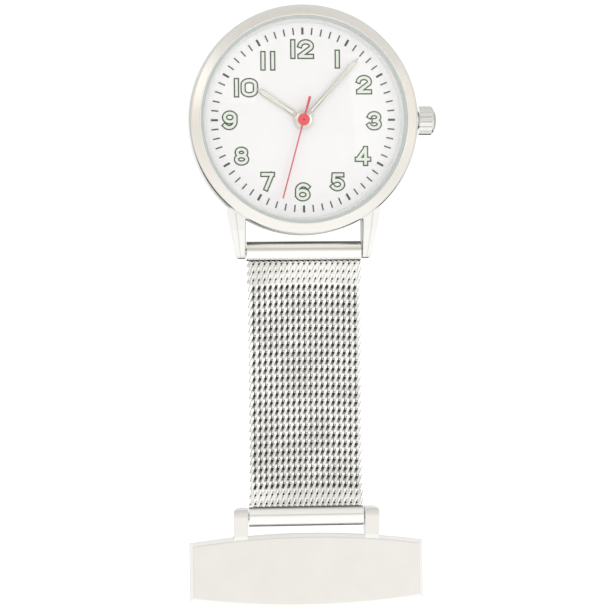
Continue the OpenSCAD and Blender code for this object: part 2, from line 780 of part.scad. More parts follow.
module movement_holder() {
    color([0.93, 0.93, 0.90]) worn() difference() {
        disc([0, 0], holder_r, back_t + 0.75, dial_z);
        translate([0, 0, -1]) linear_extrude(deep) plate_outline(plate_r + 0.08);
        translate([0, 0, stem_z]) rod_x(stem_r + 0.1, 0, holder_r + 1);
        for (p = foot_pts) disc(p, foot_r + 0.03, 0, deep);
    }
}

// ---- hands ----

// a hand with its hub, pointing at 12: reach, width, length of the tip, hub and bore radii
module dial_hand(reach, w, tip_l, hub_r, hand_bore_r) {
    difference() {
        union() {
            cylinder(r = hub_r, h = hand_t);
            linear_extrude(hand_t) polygon([[-w / 2 + 0.1, 0], [-w / 2, 1.6], [-w / 2, reach - tip_l],
                [0, reach], [w / 2, reach - tip_l], [w / 2, 1.6], [w / 2 - 0.1, 0]]);
        }
        translate([0, 0, -1]) cylinder(r = hand_bore_r, h = 3);
    }
}

module hour_hand() {
    color([0.90, 0.92, 0.86]) worn() clockwise(hour_angle) translate([0, 0, hour_z])
        dial_hand(hour_reach, hour_hand_w, 0.9, hour_hub_r, hour_pipe_r);
}

module minute_hand() {
    color([0.90, 0.92, 0.86]) worn() clockwise(minute_angle) translate([0, 0, minute_z])
        dial_hand(minute_reach, minute_hand_w, 1, minute_hub_r, cannon_pipe_r);
}

module second_hand() {
    color([0.86, 0.20, 0.26]) worn() clockwise(second_angle) translate([0, 0, second_z]) {
        linear_extrude(0.1) polygon([[-0.085, second_reach], [0.085, second_reach], [0.11, 0],
            [0.2, -second_tail], [-0.2, -second_tail], [-0.11, 0]]);
        difference() {
            cylinder(r = second_hub_r, h = 0.2);
            translate([0, 0, -eps]) cylinder(r = seconds_arbor_r, h = hand_t / 2 + eps);
        }
    }
}

// ---- band ----

module case_bar() { color([0.78, 0.78, 0.78]) worn() bar_sleeve(case_bar_y); }
module case_bar_spring() { color([0.65, 0.66, 0.68]) worn() bar_spring(case_bar_y); }
module case_bar_tip_right() { color([0.78, 0.78, 0.78]) worn() bar_tip(case_bar_y); }
module case_bar_tip_left() { color([0.78, 0.78, 0.78]) worn() mirror([1, 0, 0]) bar_tip(case_bar_y); }
module case_end_tube() { color([0.92, 0.92, 0.90]) worn() end_tube(case_bar_y); }
module mesh_1() { color([0.80, 0.80, 0.78]) worn() mesh_section(1); }
module mesh_2() { color([0.80, 0.80, 0.78]) worn() mesh_section(2); }
module mesh_3() { color([0.80, 0.80, 0.78]) worn() mesh_section(3); }
module mesh_4() { color([0.80, 0.80, 0.78]) worn() mesh_section(4); }
module mesh_5() { color([0.80, 0.80, 0.78]) worn() mesh_section(5); }
module mesh_6() { color([0.80, 0.80, 0.78]) worn() mesh_section(6); }
module brooch_end_tube() { color([0.92, 0.92, 0.90]) worn() end_tube(brooch_bar_y); }
module brooch_bar() { color([0.78, 0.78, 0.78]) worn() bar_sleeve(brooch_bar_y); }
module brooch_bar_spring() { color([0.65, 0.66, 0.68]) worn() bar_spring(brooch_bar_y); }
module brooch_bar_tip_right() { color([0.78, 0.78, 0.78]) worn() bar_tip(brooch_bar_y); }
module brooch_bar_tip_left() {
    color([0.78, 0.78, 0.78]) worn() mirror([1, 0, 0]) bar_tip(brooch_bar_y);
}

// ---- brooch ----

// radius of the plate's curved edges, from its width and the rise at its middle
edge_rise = (brooch_h - brooch_end_h) / 2;
edge_r = (pow(brooch_w / 2, 2) + pow(edge_rise, 2)) / (2 * edge_rise);

// the plate's outline from z0 to z1, with every edge leaning in by lean over that height
module brooch_slab(z0, z1, lean) {
    h = z1 - z0;
    half = brooch_w / 2;
    intersection() {
        translate([0, brooch_h / 2 - edge_r, z0])
            cylinder(r1 = edge_r, r2 = edge_r - lean, h = h, $fn = 200);
        translate([0, edge_r - brooch_h / 2, z0])
            cylinder(r1 = edge_r, r2 = edge_r - lean, h = h, $fn = 200);
        translate([0, brooch_h, z0]) rotate([90, 0, 0]) linear_extrude(2 * brooch_h)
            polygon([[-half, 0], [half, 0], [half - lean, h], [-half + lean, h]]);
    }
}

module brooch_lug() {
    knuckle_r = tube_r - 0.05;
    x0 = lug_gap / 2;
    foot_y = plate_top_y - 0.5;
    difference() {
        translate([x0, 0, 0]) rotate([90, 0, 90]) linear_extrude(brooch_lug_w) union() {
            translate([brooch_bar_y, bar_z]) circle(r = knuckle_r);
            polygon([[brooch_bar_y, bar_z - knuckle_r], [brooch_bar_y, bar_z + knuckle_r],
                [foot_y, plate_z1 - 0.1], [plate_mid_y, plate_z1 - 0.1],
                [plate_mid_y, plate_z0 + 0.1], [foot_y, plate_z0 + 0.1]]);
        }
        // bevel down the outer front edge
        translate([x0 + brooch_lug_w, 0, bar_z + knuckle_r - 0.45]) rotate([0, 40, 0])
            box(-0.1, 2, plate_top_y - 0.2, brooch_bar_y + 3, -2, 4);
        translate([0, brooch_bar_y, bar_z]) rod_x(lug_hole_r, 0, x0 + tip_out + 0.15);
    }
}

module brooch_plate() {
    bevel_t = 0.4;
    color([0.93, 0.93, 0.91]) worn() {
        translate([0, plate_mid_y, 0]) {
            brooch_slab(plate_z0, plate_z1 - bevel_t, 0);
            brooch_slab(plate_z1 - bevel_t - eps, plate_z1, brooch_bevel);
        }
        brooch_lug();
        mirror([1, 0, 0]) brooch_lug();
    }
}

// the ear on the plate: a foot with two cheeks that the rivet passes through
module pin_hinge() {
    cheek = 0.5;
    room = 0.56;
    foot = plate_z0 - 0.4;
    color([0.84, 0.84, 0.82]) worn() translate([rivet_x, pin_y, 0]) difference() {
        union() {
            box(-1.6, 1.6, -1.7, 1.7, foot, plate_z0);
            for (y = [-room - cheek, room]) translate([0, y + cheek, 0]) rotate([90, 0, 0])
                linear_extrude(cheek) union() {
                    translate([0, pin_z]) circle(r = 1);
                    polygon([[-1, pin_z], [1, pin_z], [1.4, foot + eps], [-1.4, foot + eps]]);
                }
        }
        translate([0, 3, pin_z]) rotate([90, 0, 0]) cylinder(r = pin_r - 0.02, h = 6);
    }
}

module pin_rivet() {
    color([0.75, 0.75, 0.74]) worn() translate([rivet_x, pin_y, pin_z]) rotate([90, 0, 0]) {
        translate([0, 0, -1.07]) cylinder(r = pin_r - 0.02, h = 2.14);
        for (s = [0, 1]) mirror([0, 0, s]) translate([0, 0, 1.06]) cylinder(r1 = 0.62, r2 = 0.4, h = 0.25);
    }
}

module brooch_pin() {
    eye_r = 0.9;
    eye_w = 1;
    root_r = pin_r + 0.06;
    color([0.80, 0.81, 0.83]) worn() translate([rivet_x, pin_y, pin_z]) difference() {
        union() {
            rod_x(pin_r, -pin_l + pin_point_l, -pin_root_l);
            translate([-pin_l, 0, 0]) rotate([0, 90, 0]) cylinder(r1 = 0.05, r2 = pin_r, h = pin_point_l);
            translate([-pin_root_l, 0, 0]) rotate([0, 90, 0])
                cylinder(r1 = pin_r, r2 = root_r, h = pin_root_l - eye_r / 2);
            translate([0, eye_w / 2, 0]) rotate([90, 0, 0]) cylinder(r = eye_r, h = eye_w);
        }
        translate([0, 1, 0]) rotate([90, 0, 0]) cylinder(r = pin_r + 0.03, h = 2);
    }
}

// the fixed shell of the safety catch, open away from the plate so that the pin can drop in
module catch_base() {
    gap = pin_r + 0.22;
    foot = plate_z0 - 0.35;
    color([0.84, 0.84, 0.82]) worn() translate([catch_x, pin_y, pin_z]) difference() {
        union() {
            rod_x(shell_r1, -catch_w / 2, catch_w / 2);
            box(-catch_w / 2, catch_w / 2, -1, 1, 0.8, pin_drop - 0.3);
            box(-catch_w / 2 - 0.3, catch_w / 2 + 0.3, -1.6, 1.6, foot - pin_z, pin_drop);
        }
        rod_x(shell_r0, -catch_w, catch_w);
        box(-catch_w, catch_w, -gap, gap, -3, 0);
    }
}

// the turning collar inside the shell, with a thumb tab; drawn unlocked, its slot in line with the shell's
module catch_collar() {
    gap = pin_r + 0.1;
    x0 = -catch_w / 2 - 0.5;
    color([0.90, 0.90, 0.88]) worn() translate([catch_x, pin_y, pin_z]) difference() {
        union() {
            rod_x(collar_r1, x0, catch_w / 2 + 0.3);
            rod_x(shell_r1, x0, -catch_w / 2 - slip);
            rotate([195, 0, 0]) box(x0, -catch_w / 2 - slip, 0, 2.5, -0.45, 0.45);
        }
        rod_x(collar_r0, -catch_w, catch_w);
        box(-catch_w, catch_w, -gap, gap, -3, 0);
    }
}

case_body();
crystal();
crystal_gasket();
dial_ring();
dial();
movement_holder();
main_plate();
train_bridge();
bridge_screws();
battery();
battery_clamp();
battery_contact();
circuit_board();
quartz_crystal();
coil_block();
stator();
rotor();
fifth_wheel();
seconds_wheel();
third_wheel();
centre_wheel();
cannon_pinion();
minute_wheel();
hour_wheel();
dial_washer();
setting_wheel();
setting_lever();
yoke();
clutch_wheel();
winding_stem();
crown();
crown_gasket();
case_tube();
hour_hand();
minute_hand();
second_hand();
case_back();
case_back_gasket();
case_bar();
case_bar_spring();
case_bar_tip_left();
case_bar_tip_right();
case_end_tube();
mesh_1();
mesh_2();
mesh_3();
mesh_4();
mesh_5();
mesh_6();
brooch_end_tube();
brooch_bar();
brooch_bar_spring();
brooch_bar_tip_left();
brooch_bar_tip_right();
brooch_plate();
pin_hinge();
pin_rivet();
brooch_pin();
catch_base();
catch_collar();
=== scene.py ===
import json
import math

import bmesh
import bpy
from mathutils import Matrix, Vector


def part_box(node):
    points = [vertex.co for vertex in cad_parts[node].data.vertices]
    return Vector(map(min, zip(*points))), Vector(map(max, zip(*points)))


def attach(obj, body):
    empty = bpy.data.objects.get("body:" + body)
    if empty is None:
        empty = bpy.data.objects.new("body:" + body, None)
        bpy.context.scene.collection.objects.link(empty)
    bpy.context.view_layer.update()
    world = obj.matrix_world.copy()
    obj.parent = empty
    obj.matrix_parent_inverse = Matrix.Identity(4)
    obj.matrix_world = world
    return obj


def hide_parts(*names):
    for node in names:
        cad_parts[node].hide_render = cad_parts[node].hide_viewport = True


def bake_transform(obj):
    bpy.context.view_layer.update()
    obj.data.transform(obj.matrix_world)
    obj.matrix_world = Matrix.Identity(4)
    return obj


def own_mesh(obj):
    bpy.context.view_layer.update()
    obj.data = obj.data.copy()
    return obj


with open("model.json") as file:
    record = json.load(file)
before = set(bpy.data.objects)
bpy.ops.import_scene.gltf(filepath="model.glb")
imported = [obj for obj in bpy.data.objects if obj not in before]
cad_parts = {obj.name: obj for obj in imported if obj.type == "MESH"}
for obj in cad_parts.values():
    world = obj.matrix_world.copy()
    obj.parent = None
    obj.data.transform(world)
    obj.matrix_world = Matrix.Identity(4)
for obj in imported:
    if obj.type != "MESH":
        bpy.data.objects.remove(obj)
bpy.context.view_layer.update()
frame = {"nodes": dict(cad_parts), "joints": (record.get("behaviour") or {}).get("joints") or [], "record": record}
joints = {j["name"]: j for j in frame["joints"]}
nodes = frame["nodes"]

# ---- where things are ----
# Sizes are in millimetres on the watchmaker's bench: the dial's centre at x = y = 0, 12 o'clock at +y,
# the case back's outer face at z = 0 and the crystal towards +z. worn() takes a bench point to the row frame.
MM = 0.001
centre = Vector(joints["seconds_turn"]["pos_m"])
back_face = Vector((0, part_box("case_back")[1].y, centre.z))


def worn(x, y, z):
    return back_face + Vector((-x, -z, -y)) * MM


def bench(p):
    q = (Vector(p) - back_face) / MM
    return Vector((-q.x, -q.z, -q.y))


def bench_box(node):
    low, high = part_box(node)
    a, b = bench(low), bench(high)
    return Vector(map(min, a, b)), Vector(map(max, a, b))


# the woven band: its rows run across it, and each row's wire loops round a straight cross wire
mesh_top = bench_box("mesh_6")[1].y
mesh_low = bench_box("mesh_1")[0].y
mesh_mid_z = sum(corner.z for corner in bench_box("mesh_1")) / 2
mesh_w = 2 * bench_box("mesh_1")[1].x
rows, columns = 30, 20
row_pitch = (mesh_top - mesh_low) / rows
col_pitch = 0.814
lean = col_pitch / (2 * row_pitch)
sections = 6
section = (mesh_top - mesh_low) / sections
# a row's wire: its radius, and how high, how long and how far over its loops go
wire_r, loop_z, open_leg, loop_b = 0.19, 0.38, 0.405, 0.30
# the rows bow up by this much in the middle, less over this far from each tube
bow, ease_top, ease_low = 0.27, 3.0, 2.5
# the rows this near to each tube are pressed closer
pressed_top, pressed_low = 3.6, 2.6

# the case: its radius, where its top edge starts, the bead inside the bezel, and the wall under the crystal
case_r = bench_box("case_body")[1].x
shoulder_z = 6.2
bead_r = 15.07
wall_r = 14.6
# each lug: its inner face, and its width at its tip, with what it gains per millimetre towards the case
lug_x = 8.45
lug_tip_y, lug_tip_w, lug_gain = -18.75, 1.35, 0.21
# the top of the brooch plate's flat face
plate_z = 3.7


# ---- shader maths ----
class Val:
    """A number in a shader, for use in sums."""

    def __init__(self, tree, socket):
        self.tree, self.socket = tree, socket

    def __add__(self, o):
        return self.tree.maths("ADD", self, o)

    def __radd__(self, o):
        return self.tree.maths("ADD", o, self)

    def __sub__(self, o):
        return self.tree.maths("SUBTRACT", self, o)

    def __rsub__(self, o):
        return self.tree.maths("SUBTRACT", o, self)

    def __mul__(self, o):
        return self.tree.maths("MULTIPLY", self, o)

    def __rmul__(self, o):
        return self.tree.maths("MULTIPLY", o, self)

    def __truediv__(self, o):
        return self.tree.maths("DIVIDE", self, o)

    def __pow__(self, o):
        return self.tree.maths("POWER", self, o)

    def __abs__(self):
        return self.tree.maths("ABSOLUTE", self)

    def step(self, a, b):
        """0 below a and 1 above b, smooth in between. With a above b it falls instead."""
        n = self.tree.add("ShaderNodeMapRange", {"interpolation_type": "SMOOTHSTEP"})
        low, high, start, end = (a, b, 0, 1) if a < b else (b, a, 1, 0)
        ends = {"From Min": low, "From Max": high, "To Min": start, "To Max": end}
        for key, v in {"Value": self, **ends}.items():
            self.tree.feed(n.inputs[key], v)
        return Val(self.tree, n.outputs["Result"])

    def clamped(self):
        return self.tree.maths("MAXIMUM", self.tree.maths("MINIMUM", self, 1), 0)

    def band(self, middle, half, soft):
        """1 within half of middle, falling to 0 over soft."""
        return abs(self - middle).step(half + soft, half)


class Tree:
    """A node tree and the ways to add to it."""

    def __init__(self, tree):
        self.nodes, self.links = tree.nodes, tree.links

    def feed(self, socket, value):
        if isinstance(value, Val):
            value = value.socket
        if isinstance(value, bpy.types.NodeSocket):
            self.links.new(value, socket)
        elif hasattr(value, "__len__") and len(value) == 3 and len(socket.default_value) == 4:
            socket.default_value = (*value, 1)
        else:
            socket.default_value = value

    def add(self, kind, settings=None, inputs=None):
        n = self.nodes.new(kind)
        for key, v in (settings or {}).items():
            setattr(n, key, v)
        for key, v in (inputs or {}).items():
            self.feed(n.inputs[key], v)
        return n

    def maths(self, operation, *terms):
        n = self.add("ShaderNodeMath", {"operation": operation}, dict(enumerate(terms)))
        return Val(self, n.outputs[0])

    def mix(self, factor, a, b):
        n = self.add("ShaderNodeMix", {"data_type": "RGBA"}, {0: factor, 6: a, 7: b})
        return n.outputs[2]

    def vector(self, x, y, z):
        return self.add("ShaderNodeCombineXYZ", None, {0: x, 1: y, 2: z}).outputs[0]

    def split(self, socket):
        n = self.add("ShaderNodeSeparateXYZ", None, {0: socket})
        return [Val(self, o) for o in n.outputs]


class Paint(Tree):
    """A finish. x, y and z are the bench's millimetres, and r and turn are polar about the dial's centre."""

    def __init__(self, name, color, rough, metal=0.0):
        self.mat = bpy.data.materials.new(name)
        self.mat.use_nodes = True
        super().__init__(self.mat.node_tree)
        self.shader = self.nodes["Principled BSDF"]
        self.set("Base Color", color)
        self.set("Roughness", rough)
        self.set("Metallic", metal)
        where = self.add("ShaderNodeTexCoord").outputs["Object"]
        px, py, pz = self.split(where)
        self.x = px * (-1 / MM)
        self.y = (pz - back_face.z) * (-1 / MM)
        self.z = (py - back_face.y) * (-1 / MM)
        self.height = None

    def set(self, key, v):
        self.feed(self.shader.inputs[key], v)

    @property
    def r(self):
        return self.maths("SQRT", self.x * self.x + self.y * self.y)

    @property
    def turn(self):
        return self.maths("ARCTAN2", self.y, self.x)

    def noise(self, scale, detail=2.0, at=None, rough=0.5):
        """Soft noise from 0 to 1, with scale features per millimetre."""
        at = at or self.vector(self.x, self.y, self.z)
        inputs = {"Vector": at, "Scale": scale, "Detail": detail, "Roughness": rough}
        n = self.add("ShaderNodeTexNoise", None, inputs)
        return Val(self, n.outputs["Fac"])

    def round_brushing(self, fineness=14.0):
        """Fine lines round the dial's centre."""
        return self.noise(1.0, 3.0, self.vector(self.r * fineness, self.turn * 1.6, self.z * fineness), 0.7)

    def long_brushing(self, across, along, fineness=12.0):
        """Fine lines that run with the second direction given."""
        return self.noise(1.0, 3.0, self.vector(across * fineness, along * 0.35, self.z * 2), 0.7)

    def raise_by(self, height, depth):
        """Adds a height of up to depth millimetres, as a bump."""
        part = height * (depth * MM)
        self.height = part if self.height is None else self.height + part

    def vary(self, noise, rough, amount):
        """Roughness that wanders by amount about rough."""
        self.set("Roughness", rough + (noise - 0.5) * (2 * amount))

    def done(self, edge=0.0):
        """Joins the bump and, if edge is given, rounds the look of sharp edges by that many millimetres."""
        base = None
        if edge:
            base = self.add("ShaderNodeBevel", {"samples": 6}, {"Radius": edge * MM}).outputs[0]
        if self.height is not None:
            n = self.add("ShaderNodeBump", None, {"Strength": 1.0, "Distance": 1.0, "Height": self.height})
            if base:
                self.feed(n.inputs["Normal"], base)
            base = n.outputs[0]
        if base:
            self.set("Normal", base)
        return self.mat


def metal(name, color, rough, brush=None, depth=0.002, wander=0.06, edge=0.05, spots=0.02, scale=1.5):
    """A metal finish: brush says which way its grain runs, and spots is how far its shade wanders."""
    p = Paint(name, color, rough, 1.0)
    cloud = p.noise(scale, 3.0)
    if brush == "round":
        grain = p.round_brushing()
    elif brush == "along_x":
        grain = p.long_brushing(p.y, p.x)
    else:
        grain = p.noise(scale * 8, 3.0)
    p.vary(grain, rough, wander)
    p.raise_by(grain, depth)
    dark = [c * (1 - 4 * spots) for c in color]
    p.set("Base Color", p.mix((cloud * 0.6 + grain * 0.4).clamped(), dark, color))
    return p.done(edge)


def moulded(name, color, rough, spots=0.03, scale=2.0):
    """A plastic, rubber or painted finish with a fine grain."""
    p = Paint(name, color, rough)
    grain = p.noise(scale * 6, 3.0)
    cloud = p.noise(scale, 2.0)
    p.vary(grain, rough, 0.06)
    p.raise_by(grain, 0.003)
    p.set("Base Color", p.mix(cloud, [c * (1 - 4 * spots) for c in color], color))
    return p.done()


# ---- building shapes ----
def make(name, verts, faces, paint, body, stands_for=(), smooth=True):
    """A piece from bench points, on its body, with its paint."""
    mesh = bpy.data.meshes.new(name)
    mesh.from_pydata([worn(*v) for v in verts], [], faces)
    mesh.validate()
    bm = bmesh.new()
    bm.from_mesh(mesh)
    bmesh.ops.recalc_face_normals(bm, faces=bm.faces)
    bm.to_mesh(mesh)
    bm.free()
    mesh.materials.append(paint)
    if smooth:
        mesh.shade_smooth()
        mesh.set_sharp_from_angle(angle=math.radians(32))
    o = bpy.data.objects.new(name, mesh)
    bpy.context.scene.collection.objects.link(o)
    if body:
        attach(o, body)
    if stands_for:
        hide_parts(*stands_for)
    return o


class Shape:
    """Bench points and faces, gathered before they become one piece."""

    def __init__(self):
        self.verts, self.faces = [], []

    def slab(self, outline, z0, z1, bevel=0.0):
        """A flat solid from an outline of (x, y), with its top edge bevelled."""
        n, start = len(outline), len(self.verts)
        inner = shrink(outline, bevel) if bevel else outline
        self.verts += [(x, y, z0) for x, y in outline]
        self.verts += [(x, y, z1 - bevel) for x, y in outline]
        layers = 2
        if bevel:
            self.verts += [(x, y, z1) for x, y in inner]
            layers = 3
        for k in range(layers - 1):
            for i in range(n):
                j = (i + 1) % n
                a = start + k * n
                self.faces.append((a + i, a + j, a + n + j, a + n + i))
        self.faces.append(tuple(start + i for i in range(n))[::-1])
        top = start + (layers - 1) * n
        self.faces.append(tuple(top + i for i in range(n)))
        return self

    def ring(self, profile, steps=96, closed=True):
        """A solid turned about the dial's centre, from (r, z) points. A point at r 0 closes to the axis."""
        start, n = len(self.verts), len(profile)
        for k in range(steps):
            a = 2 * math.pi * k / steps
            for r, z in profile:
                self.verts.append((r * math.cos(a), r * math.sin(a), z))
        span = n if closed else n - 1
        for k in range(steps):
            here, there = start + k * n, start + (k + 1) % steps * n
            for i in range(span):
                j = (i + 1) % n
                self.faces.append((here + i, here + j, there + j, there + i))
        return self

    def ribbon(self, path, width, z0, z1, closed=False, reach=0.0):
        """A flat strip of that width along (x, y) points, its ends carried on by reach."""
        pts = [Vector(p) for p in path]
        if not closed and reach:
            pts[0] = pts[0] - (pts[1] - pts[0]).normalized() * reach
            pts[-1] = pts[-1] + (pts[-1] - pts[-2]).normalized() * reach
        n, start = len(pts), len(self.verts)
        for i, p in enumerate(pts):
            before = pts[i - 1] if i or closed else None
            after = pts[(i + 1) % n] if i < n - 1 or closed else None
            d0 = (p - before).normalized() if before is not None else (after - p).normalized()
            d1 = (after - p).normalized() if after is not None else d0
            mid = (d0 + d1).normalized()
            side = Vector((-mid.y, mid.x)) * (width / 2 / max(0.35, mid.dot(d1)))
            for s in (1, -1):
                for z in (z0, z1):
                    q = p + side * s
                    self.verts.append((q.x, q.y, z))
        for i in range(n if closed else n - 1):
            a, b = start + 4 * i, start + 4 * ((i + 1) % n)
            self.faces += [(a, b, b + 1, a + 1), (a + 3, b + 3, b + 2, a + 2)]
            self.faces += [(a + 1, b + 1, b + 3, a + 3), (a + 2, b + 2, b, a)]
        if not closed:
            e = start + 4 * (n - 1)
            self.faces += [(start, start + 1, start + 3, start + 2), (e + 2, e + 3, e + 1, e)]
        return self

    def wire(self, path, radius, sides=8, wide=1.0):
        """A wire along (x, y, z) points. wide is how many times wider it is along x than it is thick."""
        pts = [Vector(p) for p in path]
        start, n = len(self.verts), len(pts)
        across = Vector((1, 0, 0))
        for i, p in enumerate(pts):
            d = (pts[min(i + 1, n - 1)] - pts[max(i - 1, 0)]).normalized()
            u = (across - d * across.dot(d)).normalized()
            v = d.cross(u)
            for k in range(sides):
                a = 2 * math.pi * k / sides
                self.verts.append(p + (u * (math.cos(a) * wide) + v * math.sin(a)) * radius)
        for i in range(n - 1):
            for k in range(sides):
                m = (k + 1) % sides
                a = start + i * sides
                self.faces.append((a + k, a + m, a + sides + m, a + sides + k))
        self.faces.append(tuple(start + k for k in range(sides))[::-1])
        self.faces.append(tuple(start + (n - 1) * sides + k for k in range(sides)))
        return self

    def turn(self, clockwise):
        """Turns the shape clockwise about the dial's centre by degrees."""
        a = math.radians(clockwise)
        c, s = math.cos(a), math.sin(a)
        self.verts = [(x * c + y * s, y * c - x * s, z) for x, y, z in self.verts]

    def piece(self, name, paint, body, slot, stands_for=(), smooth=True):
        return make(name, self.verts, self.faces, paint, body, stands_for, smooth)


def shrink(outline, by):
    """An outline of (x, y) moved inwards by that much."""
    n = len(outline)
    area = sum(outline[i - 1][0] * outline[i][1] - outline[i][0] * outline[i - 1][1] for i in range(n))
    sign = 1 if area > 0 else -1
    made = []
    for i in range(n):
        p, q, r = (Vector(outline[k % n]) for k in (i - 1, i, i + 1))
        d0, d1 = (q - p).normalized(), (r - q).normalized()
        mid = (d0 + d1).normalized()
        inward = Vector((-mid.y, mid.x)) * sign
        made.append(tuple(q + inward * (by / max(0.35, mid.dot(d1)))))
    return made


def arc(cx, cy, rx, ry, a0, a1, n=14):
    """Points on an ellipse from angle a0 to a1, in degrees."""
    angles = [math.radians(a0 + (a1 - a0) * k / n) for k in range(n + 1)]
    return [(cx + rx * math.cos(a), cy + ry * math.sin(a)) for a in angles]


# ---- finishes ----
def case_finish():
    """Brushed warm bezel with a polished bead, and satin lugs and side, with painted light and shade: a painted
    sheen round the bezel, a painted highlight low on it, painted shade on the lugs, and a pale matt wall under the
    crystal painted in place of its reflection.
    """
    p = Paint("case_steel", (0.82, 0.78, 0.72), 0.3, 1.0)
    lines = p.round_brushing(16)
    side = p.long_brushing(p.z, p.turn * 14)
    cloud = p.noise(0.5, 2.0)
    top = p.z.step(shoulder_z, shoulder_z + 0.3)
    bead = p.r.step(bead_r + 0.05, bead_r - 0.05)
    # painted sheen: the bezel's tone swings a little lighter and darker twice round the dial, for light on the
    # round brushing
    painted_sheen = p.maths("SINE", p.turn * 2 + 0.6) * 0.5 + 0.5
    # painted highlight: the bezel is painted paler towards 6 o'clock, where it takes more light
    below = (p.y / case_r).step(-0.2, -0.95)
    warm = p.mix(painted_sheen, (0.79, 0.755, 0.70), (0.80, 0.77, 0.72))
    warm = p.mix(below, warm, (0.875, 0.86, 0.825))
    brushed = p.mix(lines * 0.4 + cloud * 0.3, warm, (0.86, 0.84, 0.80))
    past_face = abs(p.x) - lug_x
    lug = p.r.step(case_r + 0.02, case_r + 0.2) * past_face.step(-0.05, -0.03)
    # painted shade: the lugs' inner faces, which face each other, are painted near black
    inside = lug * past_face.step(0.11, 0.05)
    width = lug_tip_w + (p.y - lug_tip_y) * lug_gain
    # painted shade: a thin dark line along each lug, a little past the middle of its width
    painted_ridge_shade = lug * (past_face / width).band(0.58, 0.015, 0.06)
    tone = p.mix(bead, p.mix(top, (0.88, 0.875, 0.86), brushed), (0.95, 0.95, 0.94))
    tone = p.mix(painted_ridge_shade * 0.5, tone, (0.55, 0.54, 0.51))
    # painted light: the wall under the crystal is painted pale and nearly non-metal, so that it reads bright in
    # place of its steel reflection
    inner = p.r.step(wall_r + 0.15, wall_r)
    tone = p.mix(inner, tone, (0.93, 0.935, 0.94))
    p.set("Base Color", p.mix(inside, tone, (0.30, 0.29, 0.27)))
    p.set("Metallic", 1 - inner * 0.95)
    satin = 0.3 + (lines - 0.5) * 0.16 * top + (side - 0.5) * 0.1 * (1 - top)
    p.set("Roughness", satin * (1 - bead) + bead * 0.08 + inner * 0.35)
    p.raise_by(lines * top * (1 - bead), 0.0035)
    p.raise_by(side * (1 - top), 0.002)
    return p.done(0.06)


def glass_finish():
    """Clear crystal: a faint reflection, stronger at a slant, with the dial seen through it."""
    p = Paint("crystal_glass", (1, 1, 1), 0.02, 1.0)
    slant = Val(p, p.add("ShaderNodeLayerWeight", None, {"Blend": 0.25}).outputs["Facing"])
    smear = p.noise(0.4, 2.0)
    p.vary(smear, 0.03, 0.02)
    p.set("Alpha", 0.025 + slant * 0.16 + smear * 0.006)
    return p.done()


def dial_finish():
    """Satin white paint with a faint grain."""
    p = Paint("dial_white", (0.92, 0.93, 0.95), 0.42)
    grain = p.noise(9.0, 3.0)
    p.vary(grain, 0.42, 0.05)
    p.raise_by(grain, 0.0015)
    p.set("Base Color", p.mix(p.noise(0.3, 2.0), (0.94, 0.945, 0.965), (0.965, 0.97, 0.99)))
    return p.done()


def print_finish(name, color, mottle, rough=0.5):
    """Printed paint that sits a little proud, slightly uneven."""
    p = Paint(name, color, rough)
    grain = p.noise(14.0, 3.0)
    p.vary(grain, rough, 0.08)
    p.raise_by(grain, 0.002)
    p.set("Base Color", p.mix(p.noise(3.0, 2.0), mottle, color))
    return p.done()


def pressed(p):
    """1 in the rows pressed close next to the end tubes, 0 in the rest."""
    by_case = (mesh_top - p.y).step(pressed_top - 0.15, pressed_top - 0.35)
    by_brooch = (p.y - mesh_low).step(pressed_low - 0.25, pressed_low - 0.45)
    return p.maths("MAXIMUM", by_case, by_brooch)


def painted_opening_shade(p):
    """Painted dark spots that stand for the shade in the small openings of the pressed rows."""
    column = p.x / col_pitch + 0.5 * (columns % 2 + 1)
    across = abs(p.maths("FRACT", column) - 0.5) * col_pitch
    rise = bow * (1 - (p.x / (mesh_w / 2)) ** 2)
    ease = p.maths("MINIMUM", (mesh_top - p.y) / ease_top, (p.y - mesh_low) / ease_low)
    row = (p.y - rise * p.maths("MINIMUM", ease, 1.0) - mesh_low) / row_pitch
    along = abs(p.maths("FRACT", row) - 0.5) * row_pitch
    size = p.maths("SQRT", across * across + along * along)
    return size.step(0.16, 0.1) * pressed(p)


def mesh_finish():
    """Bright drawn wire, with painted shade where it dips into the weave."""
    p = Paint("mesh_steel", (0.9, 0.9, 0.885), 0.2, 1.0)
    # painted shade: the wire is painted darker where it dips below its crest, for the shade between the wires
    crest = abs(p.z - mesh_mid_z).step(0.3, 0.48)
    cloud = p.noise(0.16, 2.0)
    drawn = p.noise(1.0, 2.0, p.vector(p.x * 18, p.y * 5, p.z * 18))
    p.vary(drawn, 0.2, 0.07)
    p.raise_by(drawn, 0.002)
    bright = p.mix(cloud.step(0.4, 0.62), (0.73, 0.73, 0.715), (0.86, 0.86, 0.845))
    tone = p.mix(crest, (0.66, 0.66, 0.64), bright)
    # painted shade: near-black spots where the pressed rows' openings are
    p.set("Base Color", p.mix(painted_opening_shade(p), tone, (0.015, 0.015, 0.015)))
    return p.done()


def core_finish():
    """The straight cross wires: painted near black between the loops for the shade deep in the weave, steel grey
    where the rows are pressed, with painted dark spots there for the shade in their openings.
    """
    p = Paint("core_steel", (0.05, 0.05, 0.048), 0.5, 0.6)
    drawn = p.noise(6.0, 2.0)
    p.vary(drawn, 0.4, 0.1)
    # painted shade: the cross wires are near black between the loops, for the shade deep in the weave
    painted_pit_shade = p.mix(drawn, (0.03, 0.03, 0.029), (0.08, 0.078, 0.074))
    tone = p.mix(pressed(p), painted_pit_shade, (0.62, 0.62, 0.6))
    # painted shade: near-black spots at the pressed rows' openings
    p.set("Base Color", p.mix(painted_opening_shade(p), tone, (0.015, 0.015, 0.015)))
    return p.done()


